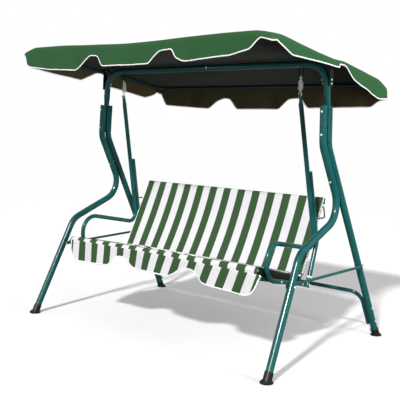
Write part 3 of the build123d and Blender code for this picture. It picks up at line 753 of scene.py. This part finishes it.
def seat_flap():
    """Scalloped flap sewn to the front of the roll, and its white tape."""
    edge = np.array(FLAP_EDGE)
    left, right = edge[0, 0], edge[-1, 0]
    place = np.linspace(0, 1, FLAP_COLUMNS)
    base_x = left + (right - left) * place
    bottom = np.interp(base_x, edge[:, 0], edge[:, 1])
    pad = np.concatenate([np.full(12, bottom[0]), bottom, np.full(12, bottom[-1])])
    weights = np.exp(-0.5 * (np.arange(-6, 7) / 1.5) ** 2)
    bottom = np.convolve(pad, weights / weights.sum(), mode="same")[12:-12]
    rows = []
    for degrees in np.linspace(FLAP_START, 180, 5):
        angle = math.radians(degrees)
        rows.append((ROLL_Y + FLAP_R * math.cos(angle), ROLL_Z + FLAP_R * math.sin(angle)))
    grid = []
    tilt = np.where(base_x < 0, 1.2 * TWIST, -SEAM_FALL) * base_x / 0.7
    for y, z in rows:
        grid.append(np.stack([base_x, np.full(FLAP_COLUMNS, y), z + tilt], axis=1))
    top_y, top_z = rows[-1]
    swing = ripple(base_x, 0.6)
    for k in range(1, FLAP_ROWS + 1):
        t = k / FLAP_ROWS
        fall = top_z + tilt - bottom
        sway = FLAP_SWAY * t * (swing + 0.3) * np.clip(fall / FLAP_DROP, 0.3, 1.2)
        y = top_y - sway + FLAP_IN * t
        grid.append(np.stack([base_x, y, top_z + tilt - fall * t], axis=1))
    grid = np.array(grid)
    flap = grid_piece("seat_flap", grid, FLAP_STRIPES, SHEET_T)

    low = grid[-1]
    left_side = grid[:-1, 0]
    right_side = grid[:-1, -1][::-1]
    edge_line = np.vstack([left_side, low, right_side])
    tangent = unit(np.gradient(edge_line, axis=0))
    inward = unit(np.cross((0.0, -1.0, 0.0), tangent))
    normal = unit(np.cross(tangent, inward))
    return flap, tape("seat_flap_tape", edge_line, inward, normal, WHITE_TAPE, *FLAP_TAPE_SIZE)


seat_grid, cloth = seat_cloth()
flap, flap_tape = seat_flap()
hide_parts("seat_sling")
for piece in (cloth, flap, flap_tape, seat_side(1, seat_grid), seat_side(-1, seat_grid)):
    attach(piece, "seat")


# ---------------------------------------------------------------------- back sling

_, FRAME_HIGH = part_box("back_frame")
BACK_TUBE_R = 0.010
BACK_X = FRAME_HIGH.x - BACK_TUBE_R
BACK_TOP = (FRAME_HIGH.y - BACK_TUBE_R, FRAME_HIGH.z - BACK_TUBE_R)
BACK_FOOT = (POST_Y + 0.086, 0.3695)
BACK_OFF = 0.0125               # cloth middle from the tube's centre
BACK_SAG = 0.012
BACK_START = 0.034              # where the cloth begins on the side tubes
BACK_ROWS = 30                  # rows of the sheet up the front, then round the top tube
OVER_ROWS = 10
BACK_COLUMNS = 101
BACK_UNEVEN = 0.0015
HEM = 0.024
SLEEVE_SHORT = 0.055            # a sleeve ends this far below the top corner


def back_axes():
    along = np.array(BACK_TOP) - np.array(BACK_FOOT)
    along = along / np.linalg.norm(along)
    return along, np.array([along[1], -along[0]])


def back_cloth():
    along, rear = back_axes()
    top = np.array(BACK_TOP)
    low = np.array(BACK_FOOT) + along * BACK_START - rear * BACK_OFF
    high = top - rear * BACK_OFF
    rise = [low + (high - low) * t for t in np.linspace(0, 1, BACK_ROWS)]
    over = []
    for degrees in np.linspace(0, 180, OVER_ROWS + 1)[1:]:
        angle = math.radians(degrees)
        over.append(top - rear * BACK_OFF * math.cos(angle) + along * BACK_OFF * math.sin(angle))
    hem = [over[-1] - along * d for d in (HEM / 3, HEM * 2 / 3, HEM)]
    profile = np.array(rise + over + hem)
    across = np.linspace(-1, 1, BACK_COLUMNS)
    grid = np.zeros((len(profile), len(across), 3))
    for i, (y, z) in enumerate(profile):
        t = min(i / (BACK_ROWS - 1), 1.0)
        dip = BACK_SAG * math.sin(math.pi * t) ** 0.8 * (1 - np.abs(across) ** 4)
        grid[i, :, 0] = across * BACK_HALF
        grid[i, :, 1] = y + rear[0] * dip
        grid[i, :, 2] = z + rear[1] * dip
    for row in grid[:BACK_ROWS]:
        for point in row:
            spot = Vector((point[0] * 5, point[2] * 7, 8.2))
            point[1] += BACK_UNEVEN * noise.noise(spot)
    return grid, grid_piece("back_cloth", grid, BACK_STRIPES, SHEET_T)


def back_sleeve(side):
    """Cloth tunnel round one side tube, gathered slightly along its length."""
    along, rear = back_axes()
    start = np.array(BACK_FOOT) + along * BACK_START
    length = np.linalg.norm(np.array(BACK_TOP) - start) - SLEEVE_SHORT
    rows = []
    for t in np.linspace(0, 1, 40):
        centre = start + along * length * t
        pinch = 1 + 0.05 * math.sin(TAU * 7 * t + side) + 0.03 * math.sin(TAU * 17 * t)
        radius = (BACK_OFF + 0.0002) * pinch
        ring = []
        for degrees in np.linspace(-20, 215, 22):
            angle = math.radians(degrees)
            out = radius * math.sin(angle)
            back = -radius * math.cos(angle) if degrees > 0 else -BACK_OFF
            point = centre + rear * back
            ring.append((side * (BACK_X + out), point[0], point[1]))
        rows.append(ring)
    grid = np.array(rows)
    if side < 0:
        grid = grid[:, ::-1]
    name = "back_sleeve_right" if side > 0 else "back_sleeve_left"
    return grid_piece(name, grid, BACK_STRIPES, HEM_T)


def edge_tape(name, grid, column, neighbour, material):
    """Tape along one side edge of a sheet, from its lowest row to the top roll."""
    line = grid[:, column]
    inward = unit(grid[:, neighbour] - line)
    tangent = unit(np.gradient(line, axis=0))
    normal = unit(np.cross(tangent, inward))
    return tape(name, line, inward, normal, material, *BACK_TAPE_SIZE)


back_grid, back = back_cloth()
taped = back_grid[:BACK_ROWS + OVER_ROWS + 1]
pieces = [back, back_sleeve(1), back_sleeve(-1)]
pieces.append(edge_tape("back_tape_right", taped, -1, -2, LACED_TAPE))
pieces.append(edge_tape("back_tape_left", taped, 0, 1, LACED_TAPE))
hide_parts("back_sling")
for piece in pieces:
    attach(piece, "seat")


# ------------------------------------------------------------------------- springs

SPRING_TURNS = 8
TURN_STEPS = 28
WIRE_R = 0.0017


def spring(node, side):
    """Close-wound coil with its ends bent in to the hooks' cross rods."""
    low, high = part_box(node)
    centre = (low + high) / 2
    radius = (high.y - low.y) / 2 - WIRE_R
    bottom, top = low.z + WIRE_R, high.z - WIRE_R
    steps = SPRING_TURNS * TURN_STEPS
    path = []
    for i in range(steps + 1):
        t = i / steps
        angle = TAU * SPRING_TURNS * t * side
        pull = 1 - 0.55 * max(0.0, 1 - min(t, 1 - t) * SPRING_TURNS * 2.5) ** 2
        path.append((
            centre.x + radius * pull * math.cos(angle),
            centre.y + radius * pull * math.sin(angle),
            bottom + (top - bottom) * t,
        ))
    path = np.array(path)
    tangent = unit(np.gradient(path, axis=0))
    radial = path - np.array((centre.x, centre.y, 0.0))
    radial[:, 2] = 0
    radial = unit(radial)
    normal = unit(np.cross(tangent, radial))
    around = 10
    points = []
    for k in range(around):
        angle = TAU * k / around
        points.append(path + WIRE_R * (radial * math.cos(angle) + normal * math.sin(angle)))
    points = np.stack(points, axis=1).reshape(-1, 3)
    faces = quads(steps + 1, around, closed=True)
    faces.append(tuple(range(around))[::-1])
    faces.append(tuple(steps * around + k for k in range(around)))
    piece = build(node + "_coil", points, faces, [FINISHES["zinc"]])
    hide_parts(node)
    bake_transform(piece)


spring("spring_right", 1)
spring("spring_left", -1)


# -------------------------------------------------------------- floor, light, camera

SKY_LOW = 0.16                  # strength of the sky's light from low down and from high up
SKY_HIGH = 0.48
SUN_FROM = (0.9, -3.6, 2.6)
SUN_POWER = 3.1


def floor():
    """Pale floor that takes shadows but throws no light up into the bench."""
    size = 60.0
    corners = [(-size, -size, 0), (size, -size, 0), (size, size, 0), (-size, size, 0)]
    s = Shading("pale_floor")
    speck = s.noise(s.place(), 40.0, 4.0)
    s.surface(Base_Color=s.mix(speck, (0.93, 0.93, 0.93, 1), (0.97, 0.97, 0.97, 1)))
    s.surface(Roughness=0.9, Specular_IOR_Level=0.0)
    ground = build("floor", corners, [(0, 1, 2, 3)], [s.material])
    ground.location.z = -0.0005
    ground.visible_diffuse = False
    ground.visible_glossy = False


def lamp(name, kind, place, target, power, glossy=True, **shape):
    light = bpy.data.lights.new(name, kind)
    light.energy = power
    for key, value in shape.items():
        setattr(light, key, value)
    holder = bpy.data.objects.new(name, light)
    holder.location = place
    holder.rotation_euler = (Vector(target) - Vector(place)).to_track_quat("-Z", "Y").to_euler()
    holder.visible_glossy = glossy
    bpy.context.scene.collection.objects.link(holder)


def studio():
    """White backdrop, soft light from the upper half of the sky, a sun from the front right."""
    world = bpy.data.worlds.new("studio")
    bpy.context.scene.world = world
    world.use_nodes = True
    nodes, links = world.node_tree.nodes, world.node_tree.links
    soft = nodes["Background"]
    soft.inputs["Color"].default_value = (1.0, 1.0, 1.0, 1.0)
    where = nodes.new("ShaderNodeTexCoord")
    axes = nodes.new("ShaderNodeSeparateXYZ")
    ramp = nodes.new("ShaderNodeMapRange")
    for place, value in enumerate((-0.15, 0.30, SKY_LOW, SKY_HIGH), start=1):
        ramp.inputs[place].default_value = value
    links.new(where.outputs["Generated"], axes.inputs[0])
    links.new(axes.outputs[2], ramp.inputs[0])
    links.new(ramp.outputs[0], soft.inputs["Strength"])
    seen = nodes.new("ShaderNodeBackground")
    seen.inputs["Color"].default_value = (1.0, 1.0, 1.0, 1.0)
    seen.inputs["Strength"].default_value = 1.0
    path = nodes.new("ShaderNodeLightPath")
    mix = nodes.new("ShaderNodeMixShader")
    links.new(path.outputs["Is Camera Ray"], mix.inputs["Fac"])
    links.new(soft.outputs[0], mix.inputs[1])
    links.new(seen.outputs[0], mix.inputs[2])
    links.new(mix.outputs[0], nodes["World Output"].inputs["Surface"])
    lamp("sun", "SUN", SUN_FROM, (0, 0, 0), SUN_POWER, angle=math.radians(4))
    lamp("left_strip", "AREA", (-2.6, -3.4, 1.5), (0, 0, 0.8), 9, shape="RECTANGLE",
         size=0.25, size_y=2.4)
    lamp("front_fill", "AREA", (1.4, -5.5, 1.2), (0, 0, 0.8), 38, False, size=2.0)
    lamp("right_fill", "AREA", (5.0, -0.4, 0.9), (0, 0, 1.3), 230, False, size=1.6)
    bpy.context.scene.view_settings.view_transform = "Standard"


# The bench seen from the front right, 1.1 m above the floor. Angles in radians, lens in mm.
CAMERA_PLACE = (2.5579, -3.1607, 1.1128)
CAMERA_YAW = 0.684
CAMERA_PITCH = -0.089
CAMERA_ROLL = 0.042
CAMERA_LENS = 62.36


def camera():
    ahead = Vector((
        -math.sin(CAMERA_YAW) * math.cos(CAMERA_PITCH),
        math.cos(CAMERA_YAW) * math.cos(CAMERA_PITCH),
        math.sin(CAMERA_PITCH),
    ))
    level = Vector((math.cos(CAMERA_YAW), math.sin(CAMERA_YAW), 0))
    rise = level.cross(ahead)
    right = level * math.cos(CAMERA_ROLL) + rise * math.sin(CAMERA_ROLL)
    up = rise * math.cos(CAMERA_ROLL) - level * math.sin(CAMERA_ROLL)
    lens = bpy.data.cameras.new("camera")
    lens.sensor_width = 36.0
    lens.lens = CAMERA_LENS
    lens.clip_end = 100.0
    eye = bpy.data.objects.new("camera", lens)
    turn = Matrix((right, up, -ahead)).transposed()
    eye.matrix_world = Matrix.Translation(CAMERA_PLACE) @ turn.to_4x4()
    bpy.context.scene.collection.objects.link(eye)
    bpy.context.scene.camera = eye


floor()
studio()
camera()
